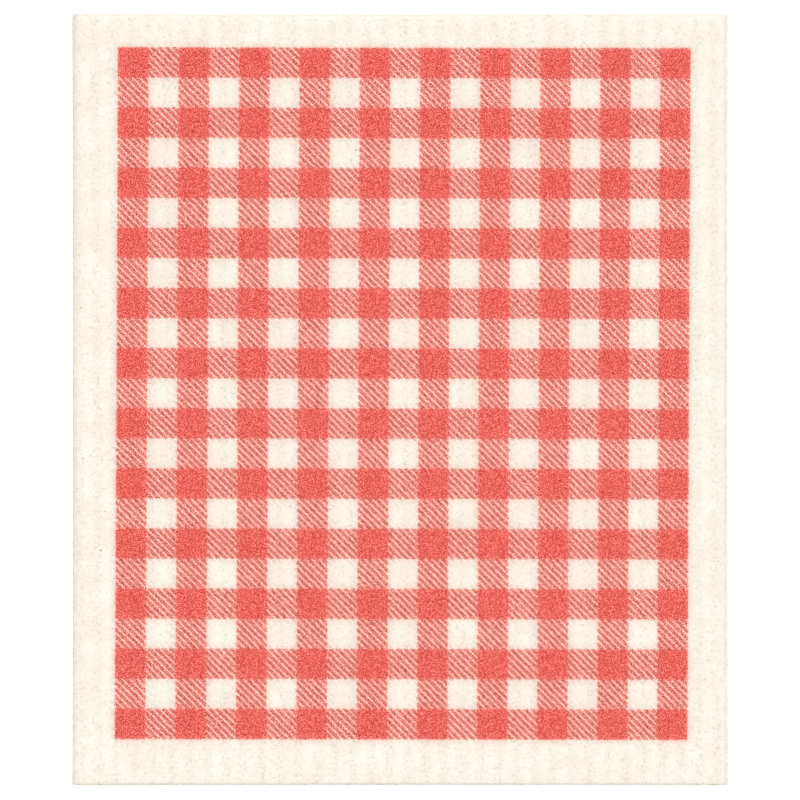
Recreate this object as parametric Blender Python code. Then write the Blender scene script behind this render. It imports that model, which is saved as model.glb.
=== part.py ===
"""Sponge cloth: one flat sheet of cellulose sponge, rolled with shallow furrows along its
length and cut to a rectangle with softened edges.

Metres, +Z up. The sheet lies on its plain underside, centred on the origin, with its long
side along Y. Run it with: blender --background --python part.py
"""
import math

import bmesh
import bpy

# The sheet as it is cut
WIDTH = 0.170
LENGTH = 0.200
THICKNESS = 0.0020
CORNER_RADIUS = 0.0010

# The cut edge is pressed round by the blade, more above than below
TOP_ROUND = 0.0006
FOOT_ROUND = 0.0003
ROUND_STEPS = 3
CORNER_STEPS = 4

# The furrows that the roller leaves in the upper face. They run the whole length, and the
# cut falls across them anywhere, so one lies FURROW_SHIFT to the right of the middle.
FURROW_PITCH = 0.00471
FURROW_WIDTH = 0.0022
FURROW_DEPTH = 0.00015
FURROW_SHIFT = 0.0012
FURROW_STEPS = 6

# How far the furrow cutter stands out of the sheet, past its ends and above it
CUTTER_OVERRUN = 0.002

# The unprinted cloth: warm cream, fully matte
CREAM = (0.93, 0.86, 0.74, 1.0)
ROUGHNESS = 0.95


def clear_scene():
    """Takes away what the file opened with."""
    for thing in list(bpy.data.objects):
        bpy.data.objects.remove(thing, do_unlink=True)


def cloth_material():
    """The matte cream of the bare sponge."""
    material = bpy.data.materials.new("cream_sponge")
    material.use_nodes = True
    shader = material.node_tree.nodes["Principled BSDF"]
    shader.inputs["Base Color"].default_value = CREAM
    shader.inputs["Roughness"].default_value = ROUGHNESS
    shader.inputs["Metallic"].default_value = 0.0
    material.diffuse_color = CREAM
    return material


def add_object(name, bm):
    """Turns a finished bmesh into an object of the scene."""
    mesh = bpy.data.meshes.new(name)
    bmesh.ops.recalc_face_normals(bm, faces=bm.faces)
    bm.to_mesh(mesh)
    bm.free()
    thing = bpy.data.objects.new(name, mesh)
    bpy.context.scene.collection.objects.link(thing)
    return thing


def round_edges(bm, edges, radius, steps):
    """Gives the edges a round of this radius."""
    bmesh.ops.bevel(
        bm,
        geom=edges,
        offset=radius,
        segments=steps,
        profile=0.5,
        affect="EDGES",
        clamp_overlap=True,
        material=-1,
    )


def rim_at(bm, height):
    """The edges that run round the sheet at this height."""
    flat = 1e-7
    return [e for e in bm.edges if all(abs(v.co.z - height) < flat for v in e.verts)]


def sheet_blank():
    """The plain sheet: a slab with rounded corners and a rounded rim, its underside at Z 0."""
    bm = bmesh.new()
    bmesh.ops.create_cube(bm, size=1.0)
    bmesh.ops.translate(bm, verts=bm.verts, vec=(0.0, 0.0, 0.5))
    bmesh.ops.scale(bm, verts=bm.verts, vec=(WIDTH, LENGTH, THICKNESS))
    uprights = [e for e in bm.edges if e.verts[0].co.z != e.verts[1].co.z]
    round_edges(bm, uprights, CORNER_RADIUS, CORNER_STEPS)
    round_edges(bm, rim_at(bm, THICKNESS), TOP_ROUND, ROUND_STEPS)
    round_edges(bm, rim_at(bm, 0.0), FOOT_ROUND, ROUND_STEPS)
    return bm


def furrow_places():
    """X of each furrow whose middle lies on the flat of the upper face."""
    reach = WIDTH / 2 - TOP_ROUND
    first = math.ceil((-reach - FURROW_SHIFT) / FURROW_PITCH)
    last = math.floor((reach - FURROW_SHIFT) / FURROW_PITCH)
    return [FURROW_SHIFT + k * FURROW_PITCH for k in range(first, last + 1)]


def furrow_section(middle):
    """Outline in X and Z of one roller ridge: an arc below the upper face, closed above it."""
    half = FURROW_WIDTH / 2
    radius = (half ** 2 + FURROW_DEPTH ** 2) / (2 * FURROW_DEPTH)
    centre_z = THICKNESS - FURROW_DEPTH + radius
    top = THICKNESS + CUTTER_OVERRUN
    half_angle = math.asin(half / radius)
    outline = [(middle - half, top)]
    for step in range(FURROW_STEPS + 1):
        angle = half_angle * (2 * step / FURROW_STEPS - 1)
        outline.append((middle + radius * math.sin(angle), centre_z - radius * math.cos(angle)))
    outline.append((middle + half, top))
    return outline


def furrow_roller():
    """All the ridges of the roller, as long straight bars that overrun both ends."""
    bm = bmesh.new()
    start = -LENGTH / 2 - CUTTER_OVERRUN
    for middle in furrow_places():
        corners = [bm.verts.new((x, start, z)) for x, z in furrow_section(middle)]
        end = bm.faces.new(corners)
        bar = bmesh.ops.extrude_face_region(bm, geom=[end])["geom"]
        moved = [v for v in bar if isinstance(v, bmesh.types.BMVert)]
        bmesh.ops.translate(bm, verts=moved, vec=(0.0, LENGTH + 2 * CUTTER_OVERRUN, 0.0))
    return bm


def make_cloth():
    """The sheet with the furrows pressed into its upper face."""
    cloth = add_object("sponge_cloth", sheet_blank())
    cloth.data.materials.append(cloth_material())
    roller = add_object("furrow_roller", furrow_roller())
    roller.hide_render = True
    roller.display_type = "WIRE"
    furrows = cloth.modifiers.new("furrows", "BOOLEAN")
    furrows.operation = "DIFFERENCE"
    furrows.solver = "EXACT"
    furrows.object = roller
    return cloth


clear_scene()
make_cloth()
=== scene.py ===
"""Sponge cloth: the finished look of one printed dishcloth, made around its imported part.

The file is laid out as an add-on. Its properties hold the sizes and colours, one operator
makes the cloth and one makes the stage. Metres, +Z up. The cloth lies flat on its plain
underside, centred on the origin, with its long side along Y and the print upwards.
"""
import math

import bmesh
import bpy
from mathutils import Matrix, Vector, noise


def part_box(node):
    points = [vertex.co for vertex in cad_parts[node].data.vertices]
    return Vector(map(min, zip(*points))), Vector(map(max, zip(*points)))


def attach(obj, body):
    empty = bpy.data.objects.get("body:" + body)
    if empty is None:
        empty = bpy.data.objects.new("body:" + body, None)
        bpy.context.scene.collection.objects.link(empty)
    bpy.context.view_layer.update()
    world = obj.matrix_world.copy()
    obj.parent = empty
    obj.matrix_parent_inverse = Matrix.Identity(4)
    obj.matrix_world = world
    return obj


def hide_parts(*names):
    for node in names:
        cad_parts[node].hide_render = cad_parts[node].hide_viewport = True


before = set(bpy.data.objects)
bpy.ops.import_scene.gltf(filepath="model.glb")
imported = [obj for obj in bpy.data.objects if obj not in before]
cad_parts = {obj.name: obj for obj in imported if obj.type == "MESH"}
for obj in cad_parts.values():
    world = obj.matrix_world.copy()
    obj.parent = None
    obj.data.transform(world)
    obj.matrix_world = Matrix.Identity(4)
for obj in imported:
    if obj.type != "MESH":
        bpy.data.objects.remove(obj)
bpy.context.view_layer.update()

bl_info = {
    "name": "Sponge Cloth",
    "version": (1, 0, 0),
    "blender": (4, 5, 0),
    "location": "3D View > Sidebar > Sponge Cloth",
    "description": "Makes a printed sponge cloth and the stage that it lies on",
    "category": "Add Mesh",
}

CAD_LOW, CAD_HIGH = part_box("sponge_cloth")

MM = 0.001

# Names that the mesh and its material share
PLAN_MAP = "plan"
BAKE_MAP = "OFBake"
UPPER = "upper"
WALL = "wall"


def length(name, description, default, digits=5):
    """A size in metres that a user can change."""
    return bpy.props.FloatProperty(
        name=name, description=description, default=default, unit="LENGTH", precision=digits
    )


def share(name, description, default):
    """A part of one, from none to all."""
    return bpy.props.FloatProperty(
        name=name, description=description, default=default, min=0.0, max=1.0, subtype="FACTOR"
    )


def angle(name, description, degrees):
    """A turn that a user can change."""
    return bpy.props.FloatProperty(
        name=name, description=description, default=math.radians(degrees), subtype="ANGLE"
    )


def colour(name, description, default):
    """A linear colour that a user can change."""
    return bpy.props.FloatVectorProperty(
        name=name, description=description, default=default, subtype="COLOR", size=3, min=0.0, max=1.2
    )


def count(name, description, default):
    """A whole number that a user can change."""
    return bpy.props.IntProperty(name=name, description=description, default=default, min=1)


class SheetSizes(bpy.types.PropertyGroup):
    """How the sheet is cut, how it was rolled, and how it lies."""

    width: length("Width", "Short side of the cut sheet", CAD_HIGH.x - CAD_LOW.x)
    length: length("Length", "Long side of the cut sheet", CAD_HIGH.y - CAD_LOW.y)
    thickness: length("Thickness", "Thickness of the dry cloth", CAD_HIGH.z - CAD_LOW.z)
    corner_radius: length("Corner Radius", "Round of the cut corners", 0.6 * MM)
    top_round: length("Top Round", "Round of the upper rim", 0.3 * MM)
    foot_round: length("Foot Round", "Round of the lower rim", 0.3 * MM)
    press_reach: length("Press Reach", "How far in from the cut the blade pressed the rim", 1.3 * MM)
    press_drop: length("Press Drop", "How deep the blade pressed the rim", 0.29 * MM)
    near_press: share("Near Press", "How hard the near end was pressed, against the others", 0.4)
    taper_reach: length("Taper Reach", "How far in from the cut the sheet thins", 1.6 * MM)
    taper_drop: length("Taper Drop", "How much thinner the sheet is at the cut", 0.25 * MM)
    furrow_pitch: length("Furrow Pitch", "From one furrow to the next", 4.71 * MM)
    furrow_width: length("Furrow Width", "Width of a furrow at half its depth", 2.2 * MM)
    furrow_depth: length("Furrow Depth", "Depth of a furrow", 0.15 * MM)
    furrow_shift: length("Furrow Shift", "Where a furrow lies, right of the middle", 1.2 * MM)
    furrow_turn: angle("Furrow Turn", "Turn of the furrows against the cut, anticlockwise", 0.3)
    lift: length("Lift", "How far the dry cloth's corners stand off the table", 0.8 * MM)
    ragged: length("Ragged", "Unevenness of the cut", 0.07 * MM)


class PrintSizes(bpy.types.PropertyGroup):
    """The check, as it lies on the sheet."""

    columns: count("Columns", "Squares across the check", 19)
    rows: count("Rows", "Squares along the check", 23)
    cell_width: length("Cell Width", "Width of one square", 7.805 * MM)
    cell_height: length("Cell Height", "Height of one square", 7.79 * MM)
    centre_x: length("Centre X", "Middle of the check, right of the sheet's middle", 0.89 * MM)
    centre_y: length("Centre Y", "Middle of the check, above the sheet's middle", 1.52 * MM)
    bow: length("Bow", "How far the outer columns stray to the left of even spacing", 0.25 * MM)
    column_turn: angle("Column Turn", "Turn of the columns, clockwise", 0.28)
    row_turn: angle("Row Turn", "Turn of the rows, clockwise", 0.10)
    lines: count("Lines", "Hatching lines in one square's width, counted straight across them", 6)
    bare_share: share("Bare Share", "Part of the hatching that is left open", 0.322)
    line_ink: share("Line Ink", "Ink that creeps into the open lines of the hatching", 0.185)
    hatch_ink: share("Hatch Ink", "Ink in the inked lines of the hatching", 0.742)
    bleed: length("Bleed", "How softly the ink ends in the sponge", 0.42 * MM)
    haze: share("Haze", "Most ink that is spread over the open squares", 0.032)
    soak: share("Soak", "Part of the ink that soaks a little further", 0.16)
    soak_reach: length("Soak Reach", "How far that ink soaks, and how far in it leaves", 0.7 * MM)
    creep: share("Creep", "Part of the ink that creeps far", 0.24)
    creep_out: length("Creep Out", "How far ink creeps out of a square", 2.4 * MM)
    creep_in: length("Creep In", "How far in from its edge a square is paler", 2.2 * MM)
    wander: length("Wander", "How far the ink's edge strays over the pores", 0.10 * MM)


class ClothColours(bpy.types.PropertyGroup):
    """What the sponge and the ink look like."""

    cream: colour("Cream", "Bare sponge", (0.790, 0.746, 0.652))
    shade: colour("Shade", "Bare sponge where it is denser", (0.66, 0.61, 0.51))
    # Pore is painted shade: the dark bottom of a pore, also laid along the furrows
    pore: colour("Pore", "Bottom of a pore", (0.60, 0.56, 0.47))
    # Cut Edge is partly the cut sponge's own tone and partly painted shade
    cut: colour("Cut Edge", "Sponge where it was cut", (0.665, 0.603, 0.525))
    # Pit is painted shade in the cells that the cut opened
    cell_shade: colour("Pit", "A cell of the sponge that the cut opened", (0.38, 0.33, 0.26))
    speck: colour("Speck", "A dark fibre in the sponge", (0.30, 0.25, 0.19))
    ink: colour("Ink", "What one full layer of ink lets through", (0.864, 0.1288, 0.123))
    line: colour("Line", "Tone of an inked line of the hatching, which is duller", (0.88, 0.90, 0.90))
    gap: colour("Gap", "Tone of an open line of the hatching, which is warmer", (1.10, 1.03, 0.985))
    roughness: share("Roughness", "Roughness of the dry sponge", 0.95)
    ink_roughness: share("Ink Roughness", "Roughness where full ink binds the fibres", 0.84)
    sheen: share("Sheen", "Soft edge light of the fibres", 0.12)


class StageSizes(bpy.types.PropertyGroup):
    """The table, the light and the camera."""

    view_width: length("View Width", "Width of table that the picture shows", 207.35 * MM)
    view_x: length("View X", "Middle of the picture, right of the cloth's middle", -0.05 * MM)
    view_y: length("View Y", "Middle of the picture, above the cloth's middle", -0.13 * MM)
    lens: bpy.props.FloatProperty(
        name="Lens", description="Focal length of the camera", default=100.0, unit="CAMERA"
    )
    table_size: length("Table Size", "Side of the white table", 6.0, digits=2)
    table_glow: share("Table Glow", "Light that the white table gives itself", 0.30)
    dome: bpy.props.FloatProperty(name="Dome", description="Light from all round", default=1.0)
    key: bpy.props.FloatProperty(name="Key", description="Soft light from one side", default=1.465)
    key_height: angle("Key Height", "How high the soft light stands", 38.0)
    key_side: angle("Key Side", "How far the soft light stands to the right of the far side", 20.0)
    key_spread: angle("Key Spread", "How wide the soft light is", 35.0)


# The mesh of the cloth

# Squares of its upper grid, whose lines crowd together near the cut
COLUMNS = 290
ROWS = 290
RIM_LINES = 6
RIM_REACH = 2.4 * MM
RIM_CROWDING = 1.6

# The underside is coarser by this step, and is built this far in and this far below
UNDER_STEP = 5
UNDER_INSET = 1.6 * MM
UNDER_DROP = 20 * MM

# Rings of the cut wall, and of the round below it
WALL_RINGS = 3
FOOT_RINGS = 2

# The wall's own finish fades out over this many times the round of the upper rim
WALL_FADE = 1.4

# Every unevenness of the sheet has waves of its own: how long they are, and which noise
# they are read from
SEED = Vector((3.1, 7.7, 1.3))
FURROW_BENDS = (6 * MM, 0.0)
FURROW_DEPTHS = (4 * MM, 2.0)
SWELLS = (75 * MM, 4.0)
PITS = (1.5 * MM, 5.0)
PEBBLES = (1.3 * MM, 9.0)
RAGGED_CUT = (0.9 * MM, 11.0)
UNEVEN_PRESS = (4 * MM, 14.0)

# A furrow's floor and each of its banks, as parts of half its width, and how far it strays
FURROW_FLOOR = 0.4
FURROW_BANK = 1.2
FURROW_STRAY = 0.25 * MM

# How much of its full depth a furrow has on the whole, and how much that varies
FURROW_MEAN = 0.85
FURROW_UNEVEN = 0.3

# The blade pressed the near end less. That begins this far in from the near cut, and is full
# after the fade. The press is uneven all round by this part of itself, and dies away inwards
# on this power of the distance
NEAR_END = 6 * MM
NEAR_FADE = 3 * MM
PRESS_UNEVEN = 0.6
PRESS_POWER = 1.5

# Pits of the upper face, how much deeper they are in a furrow, and the height of its pebbles
PIT_LEVEL = 0.25
PIT_DEPTH = 0.02 * MM
FURROW_PIT_DEPTH = 0.10 * MM
PEBBLE_HEIGHT = 0.012 * MM

# A corner has this much of the lift, give or take, and the long low swells have this much
CORNER_MEAN = 0.65
CORNER_UNEVEN = 0.35
SWELL_SHARE = 0.18


def smooth(value):
    """Eases a value from 0 to 1, held at both ends."""
    value = min(max(value, 0.0), 1.0)
    return value * value * (3.0 - 2.0 * value)


def waves(x, y, kind, further=0.0):
    """Smooth noise between about -1 and 1 over the plan, with the waves of this kind."""
    size, layer = kind
    return noise.noise(Vector((x / size, y / size, layer + further)) + SEED)


def line_places(side, number):
    """Grid lines across one side: even in the middle and closer together near both cuts."""
    rim = [RIM_REACH * (k / RIM_LINES) ** RIM_CROWDING for k in range(RIM_LINES)]
    inner = side - 2 * RIM_REACH
    steps = number - 2 * RIM_LINES
    half = side / 2
    left = [place - half for place in rim]
    middle = [RIM_REACH - half + inner * k / steps for k in range(steps + 1)]
    return left + middle + [-place for place in reversed(left)]


def distance_in(x, y, sheet):
    """How far a point of the plan lies inside the cut outline, with its corners eased."""
    from_side = sheet.width / 2 - abs(x)
    from_end = sheet.length / 2 - abs(y)
    radius = sheet.corner_radius
    if from_side < radius and from_end < radius:
        return radius - math.hypot(radius - from_side, radius - from_end)
    return min(from_side, from_end)


def rounded_plan(x, y, sheet):
    """Moves a point of the square plan so that the square corners become round ones."""
    radius = sheet.corner_radius
    past_x = abs(x) - (sheet.width / 2 - radius)
    past_y = abs(y) - (sheet.length / 2 - radius)
    if past_x <= 0 or past_y <= 0:
        return x, y
    fit = max(past_x, past_y) / math.hypot(past_x, past_y)
    new_x = math.copysign(sheet.width / 2 - radius + past_x * fit, x)
    new_y = math.copysign(sheet.length / 2 - radius + past_y * fit, y)
    return new_x, new_y


def furrow_at(x, y, sheet):
    """How much of a furrow lies here: 1 on its floor, 0 on the ridges beside it."""
    across = x - sheet.furrow_shift + math.tan(sheet.furrow_turn) * y
    across += FURROW_STRAY * waves(x, y, FURROW_BENDS)
    phase = across / sheet.furrow_pitch
    off = abs(phase - round(phase)) * sheet.furrow_pitch
    half = sheet.furrow_width / 2
    return 1.0 - smooth((off - FURROW_FLOOR * half) / (FURROW_BANK * half))


def lift_at(x, y, sheet):
    """How far the underside stands off the table: nearly nothing but for the corners."""
    side = x / (sheet.width / 2)
    end = y / (sheet.length / 2)
    corner = abs(side * end) ** 3

    # No two corners rise alike, and the swells die away towards the middle
    uneven = CORNER_MEAN + CORNER_UNEVEN * math.sin(1.7 * side + 2.3 * end + 0.6)
    swell = 0.5 + 0.5 * waves(x, y, SWELLS)
    outer = smooth(1.5 * max(abs(side), abs(end)) - 0.4)
    return sheet.lift * (corner * uneven + SWELL_SHARE * swell * outer)


def upper_height(x, y, sheet):
    """Height of the upper face over the underside."""
    inside = max(distance_in(x, y, sheet), 0.0)
    furrow = furrow_at(x, y, sheet)
    height = sheet.thickness
    height -= sheet.furrow_depth * furrow * (FURROW_MEAN + FURROW_UNEVEN * waves(x, y, FURROW_DEPTHS))
    height -= sheet.taper_drop * math.exp(-inside / sheet.taper_reach)
    near = smooth((NEAR_END - sheet.length / 2 - y) / NEAR_FADE)
    press = sheet.press_drop * (1.0 + near * (sheet.near_press - 1.0))
    press *= 1.0 + PRESS_UNEVEN * waves(x, y, UNEVEN_PRESS)
    height -= press * max(1.0 - inside / sheet.press_reach, 0.0) ** PRESS_POWER
    if inside < sheet.top_round:
        step = 1.0 - inside / sheet.top_round
        height -= sheet.top_round * (1.0 - math.sqrt(max(1.0 - step * step, 0.0)))
    pits = max(waves(x, y, PITS) - PIT_LEVEL, 0.0)
    height -= (PIT_DEPTH + FURROW_PIT_DEPTH * furrow) * pits
    height += PEBBLE_HEIGHT * waves(x, y, PEBBLES)
    return height


def upper_grid(bm, sheet):
    """The upper face, as a fine grid over the whole plan."""
    upper = bm.verts.layers.float[UPPER]
    wall = bm.verts.layers.float[WALL]
    across = line_places(sheet.width, COLUMNS)
    along = line_places(sheet.length, ROWS)
    bmesh.ops.create_grid(bm, x_segments=COLUMNS, y_segments=ROWS, size=0.5)
    for vert in bm.verts:
        column = round((vert.co.x + 0.5) * COLUMNS)
        row = round((vert.co.y + 0.5) * ROWS)
        x, y = rounded_plan(across[column], along[row], sheet)
        vert.co = (x, y, upper_height(x, y, sheet) + lift_at(x, y, sheet))
        vert[upper] = 1.0
        vert[wall] = 1.0 - smooth(distance_in(x, y, sheet) / (WALL_FADE * sheet.top_round))


def outward(x, y, sheet):
    """The level direction out of the sheet at a point of its outline."""
    radius = sheet.corner_radius
    past_x = max(abs(x) - (sheet.width / 2 - radius), 0.0)
    past_y = max(abs(y) - (sheet.length / 2 - radius), 0.0)
    return Vector((math.copysign(past_x, x), math.copysign(past_y, y))).normalized()


def lower_ring(bm, edges, places):
    """Draws the open rim down by one ring, and puts each new vertex where its place says."""
    made = bmesh.ops.extrude_edge_only(bm, edges=edges)["geom"]
    ring = [item for item in made if isinstance(item, bmesh.types.BMEdge)]
    ring = [edge for edge in ring if len(edge.link_faces) == 1]
    upper = bm.verts.layers.float[UPPER]
    wall = bm.verts.layers.float[WALL]
    for vert in {vert for edge in ring for vert in edge.verts}:
        vert.co = places(vert.co)
        vert[upper] = 0.0
        vert[wall] = 1.0
    return ring


def cut_wall(bm, sheet):
    """The cut edge, ring by ring from the upper rim down to the lower one."""
    rim = [edge for edge in bm.edges if len(edge.link_faces) == 1]
    upper_rim = sheet.thickness - sheet.taper_drop - sheet.press_drop - sheet.top_round
    foot = sheet.foot_round
    rings = [(0.0, upper_rim + (foot - upper_rim) * k / WALL_RINGS) for k in range(1, WALL_RINGS + 1)]
    for k in range(1, FOOT_RINGS + 1):
        turn = math.pi / 2 * k / FOOT_RINGS
        rings.append((foot * (1 - math.cos(turn)), foot * (1 - math.sin(turn))))
    inset = 0.0
    for number, (aim, height) in enumerate(rings):
        step_in = aim - inset
        inset = aim

        def place(co, number=number, step_in=step_in, height=height):
            away = outward(co.x, co.y, sheet)
            stray = sheet.ragged * waves(co.x, co.y, RAGGED_CUT, number)
            x = co.x - away.x * (step_in - stray)
            y = co.y - away.y * (step_in - stray)
            return (x, y, height + lift_at(x, y, sheet))

        rim = lower_ring(bm, rim, place)
    return rim


def underside(bm, rim, sheet):
    """The plain underside: a coarse grid, whose border is divided to match the lower rim.
    It is joined to the rim from well below, so that the two loops pair up, and then raised."""
    across = line_places(sheet.width, COLUMNS)
    along = line_places(sheet.length, ROWS)
    columns, rows = COLUMNS // UNDER_STEP, ROWS // UNDER_STEP
    made = bmesh.ops.create_grid(bm, x_segments=columns, y_segments=rows, size=0.5)["verts"]
    for vert in made:
        x = across[UNDER_STEP * round((vert.co.x + 0.5) * columns)]
        y = along[UNDER_STEP * round((vert.co.y + 0.5) * rows)]
        x *= 1 - 2 * UNDER_INSET / sheet.width
        y *= 1 - 2 * UNDER_INSET / sheet.length
        vert.co = (x, y, -UNDER_DROP)
    border = {edge for vert in made for edge in vert.link_edges if len(edge.link_faces) == 1}
    divided = bmesh.ops.subdivide_edges(bm, edges=list(border), cuts=UNDER_STEP - 1)["geom"]
    inner = [item for item in divided if isinstance(item, bmesh.types.BMEdge)]
    inner = [edge for edge in inner if len(edge.link_faces) == 1]
    bmesh.ops.bridge_loops(bm, edges=rim + inner)
    for vert in bm.verts:
        if vert.co.z < -UNDER_DROP / 2:
            vert.co.z = lift_at(vert.co.x, vert.co.y, sheet)


# Fields of the map laid out for the finish, each a start and a width across it. The four
# cut sides have a strip each, a step apart, and all fields share one start and height.
PRINT_FIELD = (0.005, 0.720)
UNDER_FIELD = (0.735, 0.205)
STRIP_FIELD = (0.947, 0.0075)
STRIP_STEP = 0.0135
ALONG_FIELD = (0.005, 0.990)

# How far a face has to look up, or straight down or sideways, to belong to a field
LOOKS_UP = 0.35
LOOKS_STRAIGHT = 0.7

# A strip has room for this many times the sheet's thickness
STRIP_ROOM = 1.3


def on_field(field, part):
    """The place that lies this part of the way over a field."""
    start, size = field
    return start + size * part


def bake_place(face, co, sheet):
    """Where a point of this face lies on the map laid out for the finish: the printed
    side takes most of it, the underside a narrower field, and each cut side a strip."""
    across = co.x / sheet.width + 0.5
    along = co.y / sheet.length + 0.5
    normal = face.normal
    if normal.z > LOOKS_UP:
        return on_field(PRINT_FIELD, across), on_field(ALONG_FIELD, along)
    if normal.z < -LOOKS_STRAIGHT:
        return on_field(UNDER_FIELD, across), on_field(ALONG_FIELD, along)
    side = 2 if normal.y > 0 else 3
    if abs(normal.x) > LOOKS_STRAIGHT:
        side = 0 if normal.x > 0 else 1
    run = along if side < 2 else across
    high = min(max(co.z / sheet.thickness, 0.0), STRIP_ROOM)
    return STRIP_STEP * side + on_field(STRIP_FIELD, high), on_field(ALONG_FIELD, run)


def lay_maps(bm, sheet):
    """Gives every corner its place on the plan and on the finish map."""
    plan = bm.loops.layers.uv.new(PLAN_MAP)
    bake = bm.loops.layers.uv.new(BAKE_MAP)
    for face in bm.faces:
        for loop in face.loops:
            co = loop.vert.co
            loop[plan].uv = (co.x / sheet.width + 0.5, co.y / sheet.length + 0.5)
            loop[bake].uv = bake_place(face, co, sheet)


def cloth_mesh(sheet):
    """The whole closed sheet."""
    bm = bmesh.new()
    bm.verts.layers.float.new(UPPER)
    bm.verts.layers.float.new(WALL)
    upper_grid(bm, sheet)
    rim = cut_wall(bm, sheet)
    underside(bm, rim, sheet)
    gaps = [edge for edge in bm.edges if len(edge.link_faces) != 2]
    if gaps:
        raise RuntimeError(f"the sheet is not closed: {len(gaps)} edges don't join two faces")
    bmesh.ops.recalc_face_normals(bm, faces=bm.faces)
    for face in bm.faces:
        face.smooth = True
    bm.normal_update()
    lay_maps(bm, sheet)
    mesh = bpy.data.meshes.new("sponge_cloth_sheet")
    bm.to_mesh(mesh)
    bm.free()
    return mesh


# The material of the cloth

# The range that a noise node's values mostly keep to
USUAL_LOW = 0.3
USUAL_HIGH = 0.7

# Lumps of the sponge's grains, from its fibres to its clouds, and of the cells in its cut,
# with where in its lump such a cell begins and is full
FINE_LUMPS = 0.42 * MM
COARSE_LUMPS = 0.95 * MM
CLOUDS = 6.0 * MM
MOTTLES = 4.5 * MM
RIM_LUMPS = 2.4 * MM
CUT_CELLS = 0.6 * MM
CELL_BANK = (0.60, 0.95)
FURROW_LUMPS = 1.6 * MM

# What the mottling takes from the sponge's colour, and what it adds
MOTTLE_DARK = (0.98, 0.964, 0.947)
MOTTLE_LIGHT = (1.02, 1.036, 1.053)

# How much of a furrow shows on the sides that were not rolled
UNROLLED_FURROW = 0.35

# Dark fibres: the part of them that is missing, and for small ones and rarer large ones how
# far apart they lie and how big they get
MISSING_SPECKS = 0.4
SMALL_SPECKS = (4.5 * MM, 0.16 * MM)
LARGE_SPECKS = (13 * MM, 0.28 * MM)

# How dense a lump has to be for a pore, what the furrows, the clouds and the cut take off
# that, and how far past it the pore is full
PORE_LEVEL = 0.80
PORE_LEVEL_FURROW = 0.16
PORE_LEVEL_CLOUD = 0.10
PORE_LEVEL_CUT = 0.25
PORE_BANK = 0.30

# Painted shade near the cut, which darkens the sponge towards its edge: a wide faint part,
# and a narrow uneven one. At the far and the near end it reaches less far in, by these factors
RIM_WIDE = 2.6 * MM
RIM_WIDE_SHADE = 0.20
RIM_NARROW = (0.7 * MM, 1.6 * MM)
RIM_NARROW_SHADE = (0.14, 0.72)
FAR_RIM = 1.6
NEAR_RIM = 2.4

# How strongly each tone covers the sponge under it. Those of the furrows, the pores and the
# open cells are painted shade, and the cut wall's is partly painted shade
SHADE_COVER = 0.6
FURROW_SHADE_COVER = 0.11
WALL_COVER = 0.8
PORE_SHADE_COVER = 0.55
PORE_SHADE_COVER_INKED = 0.25
CELL_SHADE_COVER = 0.6
SMALL_SPECK_COVER = 0.6
LARGE_SPECK_COVER = 0.7

# The ink's edge strays in lumps of this size, and stray ink lies in clouds of this size
STRAY_LUMPS = 0.45 * MM
HAZE_CLOUDS = 14 * MM

# A second place in a grain, far enough off to look unlike the first
ELSEWHERE = (0.031, 0.017, 0.0)

# The ink's own grain, turned so that it never runs with the check
INK_LUMPS = 0.24 * MM
INK_TURN = (0.5, 0.35, 0.6)

# Layers of ink where it is thin and where it gathers, the most that the tint goes up to, and
# the steps that it takes
THIN_INK = 0.65
THICK_INK = 1.53
MOST_LAYERS = 2
TINT_STEPS = 8

# How much brighter thin ink looks than gathered ink, and how much more so in the hatching
GLINT = 0.60
HATCH_GLINT = 0.55

# Heights of the relief that is too fine for the mesh
FIBRE_HEIGHT = 0.02 * MM
PORE_DEPTH = 0.05 * MM
CELL_DEPTH = 0.12 * MM

# How the dry fibres answer the light
SHINE = 0.25
SHEEN_SPREAD = 0.5


class Wire:
    """One output of a shader node. Arithmetic on wires and numbers adds the Math nodes."""

    def __init__(self, board, socket):
        self.board = board
        self.socket = socket

    def __add__(self, other):
        return self.board.maths("ADD", self, other)

    def __sub__(self, other):
        return self.board.maths("SUBTRACT", self, other)

    def __mul__(self, other):
        return self.board.maths("MULTIPLY", self, other)

    def __truediv__(self, other):
        return self.board.maths("DIVIDE", self, other)

    def __radd__(self, other):
        return self.board.maths("ADD", other, self)

    def __rsub__(self, other):
        return self.board.maths("SUBTRACT", other, self)

    def __rmul__(self, other):
        return self.board.maths("MULTIPLY", other, self)


class Outputs:
    """The outputs of one shader node, by name or number."""

    def __init__(self, board, node):
        self.board = board
        self.node = node

    def __getitem__(self, name):
        return Wire(self.board, self.node.outputs[name])


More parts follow.
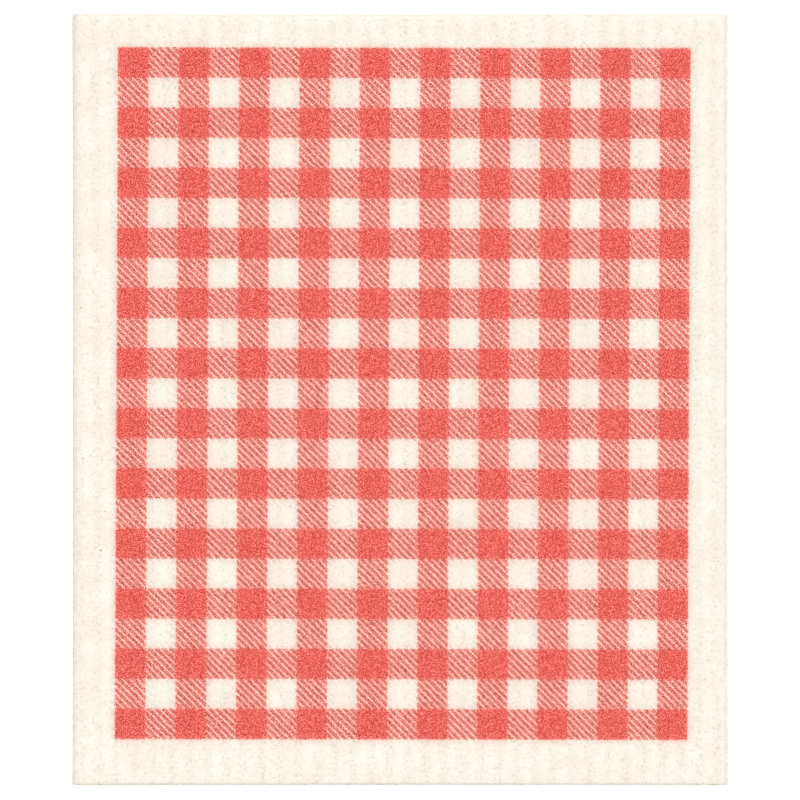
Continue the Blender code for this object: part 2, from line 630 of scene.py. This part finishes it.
class Board:
    """The nodes of one material."""

    def __init__(self, name):
        self.material = bpy.data.materials.new(name)
        self.material.use_nodes = True
        self.tree = self.material.node_tree
        self.tree.nodes.clear()

    def node(self, kind, settings=None, inputs=None):
        """Adds one node: first its settings, then the numbers and wires of its sockets."""
        made = self.tree.nodes.new(kind)
        for name, value in (settings or {}).items():
            setattr(made, name, value)
        for name, value in (inputs or {}).items():
            if isinstance(value, Wire):
                self.tree.links.new(value.socket, made.inputs[name])
            else:
                made.inputs[name].default_value = value
        return Outputs(self, made)

    def maths(self, operation, *values):
        """One Math node."""
        settings = {"operation": operation}
        return self.node("ShaderNodeMath", settings, dict(enumerate(values)))["Value"]

    def ramp(self, value, low, high, to_low=0.0, to_high=1.0, smoothly=True):
        """Takes a value from low to high onto another range, held at both ends."""
        settings = {"interpolation_type": "SMOOTHSTEP" if smoothly else "LINEAR"}
        inputs = {"Value": value, "From Min": low, "From Max": high, "To Min": to_low, "To Max": to_high}
        return self.node("ShaderNodeMapRange", settings, inputs)["Result"]

    def blend(self, factor, first, second, way="MIX"):
        """Mixes two colours. A plain colour is three numbers."""
        settings = {"data_type": "RGBA", "blend_type": way}
        made = {"Factor": factor}
        made.update({6: self.whole(first), 7: self.whole(second)})
        return self.node("ShaderNodeMix", settings, made)[2]

    @staticmethod
    def whole(value):
        """A colour of three numbers with its alpha; a wire stays as it is."""
        return value if isinstance(value, Wire) else (*value, 1.0)

    def specks(self, x, y, spacing, radius):
        """Dots about this far apart. They are of every size up to full, and some are missing."""
        spot = self.node("ShaderNodeCombineXYZ", inputs={"X": x, "Y": y})["Vector"]
        settings = {"voronoi_dimensions": "2D", "feature": "F1"}
        inputs = {"Vector": spot, "Scale": 1.0 / spacing, "Randomness": 1.0}
        dots = self.node("ShaderNodeTexVoronoi", settings, inputs)
        chance = self.node("ShaderNodeSeparateColor", inputs={"Color": dots["Color"]})["Green"]
        reach = self.ramp(chance, MISSING_SPECKS, 1.0, 0.0, radius, smoothly=False)
        return self.ramp(dots["Distance"] * spacing - reach, -0.5 * radius, 0.5 * radius, 1.0, 0.0)

    def stops(self, value, places):
        """Takes a value from 0 to 1 through a row of colours."""
        made = self.node("ShaderNodeValToRGB", inputs={"Fac": value})
        row = made.node.color_ramp.elements
        while len(row) < len(places):
            row.new(0.5)
        for stop, (position, shade) in zip(row, places):
            stop.position = position
            stop.color = self.whole(shade)
        return made["Color"]

    def grain(self, place, size, detail=0.0):
        """Noise with lumps of this size in metres, its usual range spread over 0 to 1."""
        inputs = {"Vector": place, "Scale": 1.0 / size, "Detail": detail}
        raw = self.node("ShaderNodeTexNoise", {"noise_dimensions": "3D"}, inputs)["Fac"]
        return self.ramp(raw, USUAL_LOW, USUAL_HIGH, smoothly=False)


def in_furrow(board, x, y, place, sheet):
    """How much of a furrow lies here, as on the mesh: 1 on the floor, 0 on the ridge."""
    across = x - sheet.furrow_shift + y * math.tan(sheet.furrow_turn)
    across = across + (board.grain(place, FURROW_LUMPS) - 0.5) * (2 * FURROW_STRAY)
    off = board.maths("PINGPONG", across / sheet.furrow_pitch, 0.5) * sheet.furrow_pitch
    half = sheet.furrow_width / 2
    return board.ramp(off, FURROW_FLOOR * half, (FURROW_FLOOR + FURROW_BANK) * half, 1.0, 0.0)


def check_place(board, x, y, place, prints):
    """Where a point lies on the check: in squares across it from the left, and down it from
    the top. The ink strays a little over the pores, and the columns bow."""
    stray_x = (board.grain(place, STRAY_LUMPS, detail=1.0) - 0.5) * (2 * prints.wander)
    elsewhere = board.node("ShaderNodeVectorMath", {"operation": "ADD"}, {0: place, 1: ELSEWHERE})
    stray_y = (board.grain(elsewhere["Vector"], STRAY_LUMPS, detail=1.0) - 0.5) * (2 * prints.wander)
    outer = x / (prints.columns * prints.cell_width / 2)
    from_x = x - prints.centre_x + outer * outer * prints.bow + stray_x
    from_y = y - prints.centre_y + stray_y
    across = (from_x - from_y * math.tan(prints.column_turn)) / prints.cell_width
    down = (from_y + from_x * math.tan(prints.row_turn)) / (-prints.cell_height)
    return across + prints.columns / 2, down + prints.rows / 2


def check_ink(board, x, y, place, prints):
    """How much ink the check has here: 1 in the full squares, and lines in the hatched ones.
    Then how much of a hatched square lies here, and how much of one of its inked lines."""
    across, down = check_place(board, x, y, place, prints)

    def edge(distance):
        """Ink near an edge, by how far in from it: its core, what soaks on and what creeps."""
        core = board.ramp(distance, -prints.bleed / 2, prints.bleed / 2)
        soaked = board.ramp(distance, -prints.soak_reach, prints.soak_reach)
        crept = board.ramp(distance, -prints.creep_out, prints.creep_in)
        rest = 1 - prints.soak - prints.creep
        return core * rest + soaked * prints.soak + crept * prints.creep

    def band(cells, number, size):
        """Every second row of squares, from the first, each with its soft edges."""
        held = board.node("ShaderNodeClamp", inputs={"Value": cells, "Min": 0.5, "Max": number - 0.5})
        middle_of = board.maths("PINGPONG", held["Result"] - 0.5, 1.0)
        return edge((0.5 - middle_of) * size)

    def within(cells, number, size):
        """The whole check, with its soft outer edge."""
        return edge((number / 2 - board.maths("ABSOLUTE", cells - number / 2)) * size)

    column = band(across, prints.columns, prints.cell_width)
    row = band(down, prints.rows, prints.cell_height)
    lean = board.maths("FRACT", across) - board.maths("FRACT", down)
    pitch = prints.cell_width / prints.lines
    off_line = board.maths("PINGPONG", lean * (prints.lines / math.sqrt(2)), 0.5)
    open_line = (off_line - prints.bare_share / 2) * pitch
    soft = prints.bleed / 2
    inked = board.ramp(open_line, -soft, soft)
    lines = board.ramp(inked, 0.0, 1.0, prints.line_ink, prints.hatch_ink, smoothly=False)
    both = column * row
    one = column + row - 2 * both
    inside = within(across, prints.columns, prints.cell_width)
    inside = inside * within(down, prints.rows, prints.cell_height)
    haze = board.grain(place, HAZE_CLOUDS) * prints.haze
    return inside * (haze + (1 - haze) * (both + one * lines)), inside * one, inked


def rim_shade(board, x, y, place, sheet):
    """How much painted shade darkens the sponge near the cut."""
    from_side = sheet.width / 2 - board.maths("ABSOLUTE", x)
    from_far = (sheet.length / 2 - y) * FAR_RIM
    from_near = (sheet.length / 2 + y) * NEAR_RIM
    from_cut = board.maths("MINIMUM", from_side, board.maths("MINIMUM", from_far, from_near))
    uneven = board.grain(place, RIM_LUMPS, detail=2.0)
    least, more = RIM_NARROW_SHADE
    narrow = board.ramp(from_cut, *RIM_NARROW, 1.0, 0.0) * (least + more * uneven)
    return board.ramp(from_cut, 0.0, RIM_WIDE, 1.0, 0.0) * RIM_WIDE_SHADE + narrow


def bare_sponge(board, place, lump, furrow, colours):
    """The rolled sponge, mottled, denser in places and with painted shade in its furrows, before
    anything else shows on it.
    """
    sponge = board.blend(board.ramp(lump, 0.3, 1.0) * SHADE_COVER, colours.cream, colours.shade)
    cast = board.blend(board.grain(place, MOTTLES, detail=2.0), MOTTLE_DARK, MOTTLE_LIGHT)
    sponge = board.blend(1.0, sponge, cast, way="MULTIPLY")
    # Painted shade in the furrows, in the pore colour
    return board.blend(furrow * FURROW_SHADE_COVER, sponge, colours.pore)


def inked_sponge(board, place, sponge, ink, hatching, inked, colours):
    """The sponge with the ink on it. It gathers on some fibres, and each further layer takes
    the same share of the light. The hatching has a tone of its own."""
    aslant = board.node("ShaderNodeMapping", inputs={"Vector": place, "Rotation": INK_TURN})["Vector"]
    gathered = board.grain(aslant, INK_LUMPS)
    layers = ink * board.ramp(gathered, 0.0, 1.0, THIN_INK, THICK_INK, smoothly=False)
    steps = [k / TINT_STEPS for k in range(TINT_STEPS + 1)]
    shades = [(k, [part ** (MOST_LAYERS * k) for part in colours.ink]) for k in steps]
    tint = board.stops(layers / MOST_LAYERS, shades)
    surface = board.blend(1.0, sponge, tint, way="MULTIPLY")
    tone = board.blend(inked, colours.gap, colours.line)
    surface = board.blend(hatching, surface, tone, way="MULTIPLY")
    glint = 1.0 + (ink + hatching * HATCH_GLINT) * (0.5 - gathered) * GLINT
    lit = board.node("ShaderNodeVectorMath", {"operation": "SCALE"}, {0: surface, "Scale": glint})
    return lit["Vector"]


def printed_sponge(sheet, prints, colours):
    """The sponge with its pores and furrows, which get painted shade, and the ink that lies on
    the upper face.
    """
    board = Board("printed_sponge")
    place = board.node("ShaderNodeTexCoord")["Object"]
    plan = board.node("ShaderNodeUVMap", {"uv_map": PLAN_MAP})["UV"]
    spot = board.node("ShaderNodeSeparateXYZ", inputs={"Vector": plan})
    x = (spot["X"] - 0.5) * sheet.width
    y = (spot["Y"] - 0.5) * sheet.length
    upper = board.node("ShaderNodeAttribute", {"attribute_name": UPPER})["Fac"]
    wall = board.node("ShaderNodeAttribute", {"attribute_name": WALL})["Fac"]

    furrow = in_furrow(board, x, y, place, sheet) * board.ramp(upper, 0.0, 1.0, UNROLLED_FURROW, 1.0)
    fine = board.grain(place, FINE_LUMPS, detail=1.0)
    coarse = board.grain(place, COARSE_LUMPS, detail=2.0)
    cloudy = board.grain(place, CLOUDS, detail=1.0)
    lump = 0.5 * fine + 0.5 * coarse

    # Pores are lumps past a level, which is lower in the furrows, in some clouds and on the cut
    level = PORE_LEVEL - PORE_LEVEL_FURROW * furrow - PORE_LEVEL_CLOUD * cloudy - PORE_LEVEL_CUT * wall
    pore = board.ramp(lump - level, 0.0, PORE_BANK)
    cell = board.ramp(board.grain(place, CUT_CELLS, detail=1.0), *CELL_BANK) * wall
    small = board.specks(x, y, *SMALL_SPECKS) * SMALL_SPECK_COVER
    large = board.specks(x, y, *LARGE_SPECKS) * LARGE_SPECK_COVER

    ink, hatched, inked = check_ink(board, x, y, place, prints)
    printed = board.ramp(upper, 0.9, 1.0)
    ink = ink * printed
    pore_shade_cover = PORE_SHADE_COVER - (PORE_SHADE_COVER - PORE_SHADE_COVER_INKED) * ink
    # The cut wall's own tone with painted shade on it, or the painted shade near the cut, whichever is
    # more
    cut_tone_and_shade = board.maths("MAXIMUM", wall * WALL_COVER, rim_shade(board, x, y, place, sheet))

    sponge = bare_sponge(board, place, lump, furrow, colours)
    sponge = board.blend(cut_tone_and_shade, sponge, colours.cut)
    # Painted shade at the bottom of the pores, less of it where ink lies
    sponge = board.blend(pore * pore_shade_cover, sponge, colours.pore)
    # Painted shade in the cells that the cut opened
    sponge = board.blend(cell * CELL_SHADE_COVER, sponge, colours.cell_shade)
    sponge = board.blend(board.maths("MAXIMUM", small, large), sponge, colours.speck)
    surface = inked_sponge(board, place, sponge, ink, hatched * printed, inked, colours)

    height = FIBRE_HEIGHT * fine + FIBRE_HEIGHT * coarse - PORE_DEPTH * pore - CELL_DEPTH * cell
    bump = board.node(
        "ShaderNodeBump", inputs={"Strength": 1.0, "Distance": 1.0, "Height": height}
    )["Normal"]
    rough = board.ramp(ink, 0.0, 1.0, colours.roughness, colours.ink_roughness, smoothly=False)
    shader = board.node(
        "ShaderNodeBsdfPrincipled",
        inputs={
            "Base Color": surface,
            "Roughness": rough,
            "Specular IOR Level": SHINE,
            "Sheen Weight": colours.sheen,
            "Sheen Roughness": SHEEN_SPREAD,
            "Normal": bump,
        },
    )["BSDF"]
    board.node("ShaderNodeOutputMaterial", inputs={"Surface": shader})
    return board.material


# The stage

WHITE = (1.0, 1.0, 1.0, 1.0)
TABLE_WHITE = (0.92, 0.92, 0.92, 1.0)
TABLE_ROUGHNESS = 0.8

# Width of the camera's sensor, in the millimetres that its lens is given in
SENSOR_WIDTH = 36.0


def make_table(scene, stage):
    """A wide white table top, on which the cloth's underside rests."""
    bm = bmesh.new()
    bmesh.ops.create_grid(bm, x_segments=1, y_segments=1, size=stage.table_size / 2)
    mesh = bpy.data.meshes.new("table")
    bm.to_mesh(mesh)
    bm.free()
    table = bpy.data.objects.new("table", mesh)
    scene.collection.objects.link(table)
    board = Board("white_table")
    shader = board.node(
        "ShaderNodeBsdfPrincipled",
        inputs={
            "Base Color": TABLE_WHITE,
            "Roughness": TABLE_ROUGHNESS,
            "Emission Color": WHITE,
            "Emission Strength": stage.table_glow,
        },
    )["BSDF"]
    board.node("ShaderNodeOutputMaterial", inputs={"Surface": shader})
    mesh.materials.append(board.material)


def make_light(scene, stage):
    """An even white dome, and one soft light from the far side."""
    world = bpy.data.worlds.new("dome")
    world.use_nodes = True
    background = world.node_tree.nodes["Background"]
    background.inputs["Color"].default_value = WHITE
    background.inputs["Strength"].default_value = stage.dome
    scene.world = world
    data = bpy.data.lights.new("soft_light", "SUN")
    data.energy = stage.key
    data.angle = stage.key_spread
    lamp = bpy.data.objects.new("soft_light", data)
    lamp.rotation_mode = "QUATERNION"
    level = math.cos(stage.key_height)
    towards = Vector(
        (level * math.sin(stage.key_side), level * math.cos(stage.key_side), math.sin(stage.key_height))
    )
    lamp.rotation_quaternion = towards.to_track_quat("Z", "Y")
    lamp.location = towards
    scene.collection.objects.link(lamp)


def make_camera(scene, stage, sheet):
    """A camera straight above, as far off as its lens needs for the view's width. Its colours
    are shown as they are, with no film look."""
    data = bpy.data.cameras.new("camera")
    data.lens = stage.lens
    data.sensor_width = SENSOR_WIDTH
    camera = bpy.data.objects.new("camera", data)
    off = stage.view_width * data.lens / data.sensor_width
    camera.location = (stage.view_x, stage.view_y, sheet.thickness + off)
    scene.collection.objects.link(camera)
    scene.camera = camera
    scene.view_settings.view_transform = "Standard"


# The operators and the panel

class SPONGECLOTH_OT_cloth(bpy.types.Operator):
    """Make the printed sponge cloth in place of the plain sheet"""

    bl_idname = "sponge_cloth.make_cloth"
    bl_label = "Make Cloth"
    bl_options = {"REGISTER", "UNDO"}

    def execute(self, context):
        scene = context.scene
        sheet = scene.sponge_cloth_sheet
        cloth = bpy.data.objects.new("printed_sponge_cloth", cloth_mesh(sheet))
        scene.collection.objects.link(cloth)
        finish = printed_sponge(sheet, scene.sponge_cloth_print, scene.sponge_cloth_colours)
        cloth.data.materials.append(finish)
        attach(cloth, "root")
        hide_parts("sponge_cloth")
        return {"FINISHED"}


class SPONGECLOTH_OT_stage(bpy.types.Operator):
    """Make the white table, the soft light and the camera above"""

    bl_idname = "sponge_cloth.make_stage"
    bl_label = "Make Stage"
    bl_options = {"REGISTER", "UNDO"}

    def execute(self, context):
        scene = context.scene
        stage = scene.sponge_cloth_stage
        make_table(scene, stage)
        make_light(scene, stage)
        make_camera(scene, stage, scene.sponge_cloth_sheet)
        return {"FINISHED"}


class SPONGECLOTH_PT_panel(bpy.types.Panel):
    """The sidebar page that lists the sizes, the colours and the operators"""

    bl_idname = "SPONGECLOTH_PT_panel"
    bl_label = "Sponge Cloth"
    bl_space_type = "VIEW_3D"
    bl_region_type = "UI"
    bl_category = "Sponge Cloth"

    def draw(self, context):
        layout = self.layout
        scene = context.scene
        for title, group in (
            ("Sheet", scene.sponge_cloth_sheet),
            ("Print", scene.sponge_cloth_print),
            ("Colours", scene.sponge_cloth_colours),
            ("Stage", scene.sponge_cloth_stage),
        ):
            box = layout.box()
            box.label(text=title)
            for name in group.__annotations__:
                box.prop(group, name)
        layout.operator(SPONGECLOTH_OT_cloth.bl_idname)
        layout.operator(SPONGECLOTH_OT_stage.bl_idname)


CLASSES = (
    SheetSizes,
    PrintSizes,
    ClothColours,
    StageSizes,
    SPONGECLOTH_OT_cloth,
    SPONGECLOTH_OT_stage,
    SPONGECLOTH_PT_panel,
)

GROUPS = {
    "sponge_cloth_sheet": SheetSizes,
    "sponge_cloth_print": PrintSizes,
    "sponge_cloth_colours": ClothColours,
    "sponge_cloth_stage": StageSizes,
}


def register():
    """Adds the classes, and their properties to the scene."""
    for made in CLASSES:
        bpy.utils.register_class(made)
    for name, group in GROUPS.items():
        setattr(bpy.types.Scene, name, bpy.props.PointerProperty(type=group))


def unregister():
    """Takes the properties and the classes away again."""
    for name in GROUPS:
        delattr(bpy.types.Scene, name)
    for made in reversed(CLASSES):
        bpy.utils.unregister_class(made)


def main():
    """Makes the cloth and the stage."""
    register()
    bpy.ops.sponge_cloth.make_cloth()
    bpy.ops.sponge_cloth.make_stage()


if __name__ == "__main__":
    main()
